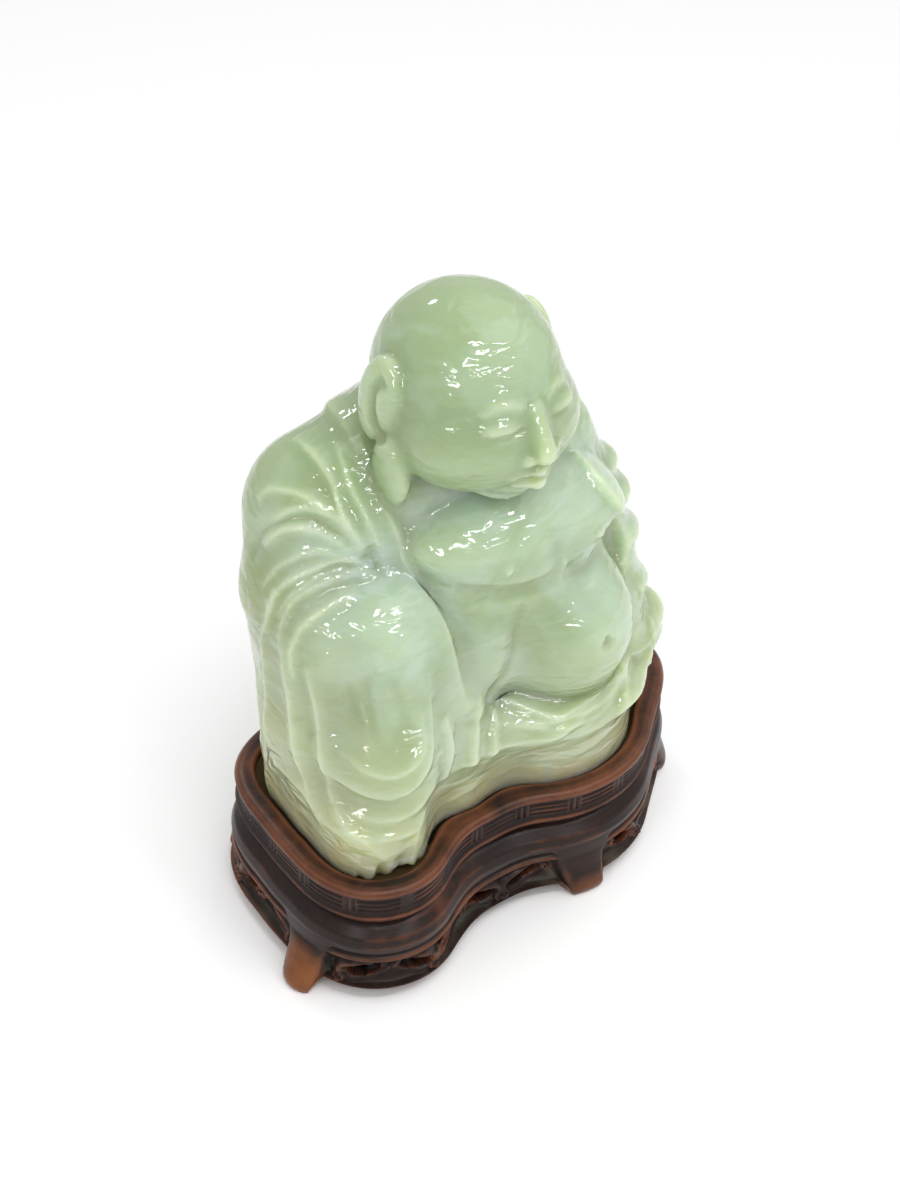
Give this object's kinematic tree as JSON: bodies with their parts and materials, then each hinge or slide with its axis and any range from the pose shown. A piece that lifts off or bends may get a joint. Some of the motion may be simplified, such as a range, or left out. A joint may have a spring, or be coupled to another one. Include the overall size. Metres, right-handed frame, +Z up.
{
  "type": "jade budai statue on carved wood stand",
  "caption": "Seated round-bellied monk carved in pale jade, one knee raised under a wide sleeve, resting in the recess of a lobed, pierced hardwood stand on scroll feet.",
  "frame": {"origin": "middle of the whole object's plan, on the floor that the stand's feet rest on", "axes": "+Z up, -Y the way the figure faces, +X the figure's left"},
  "size_m": [0.1228, 0.0854, 0.1512],
  "materials": {
    "jade": "polished, translucent pale green stone",
    "dark_hardwood": "waxed, worn red-brown on the edges"
  },
  "bodies": {
    "root": {"jade_figure": "jade", "wood_stand": "dark_hardwood"}
  },
  "joints": []
}
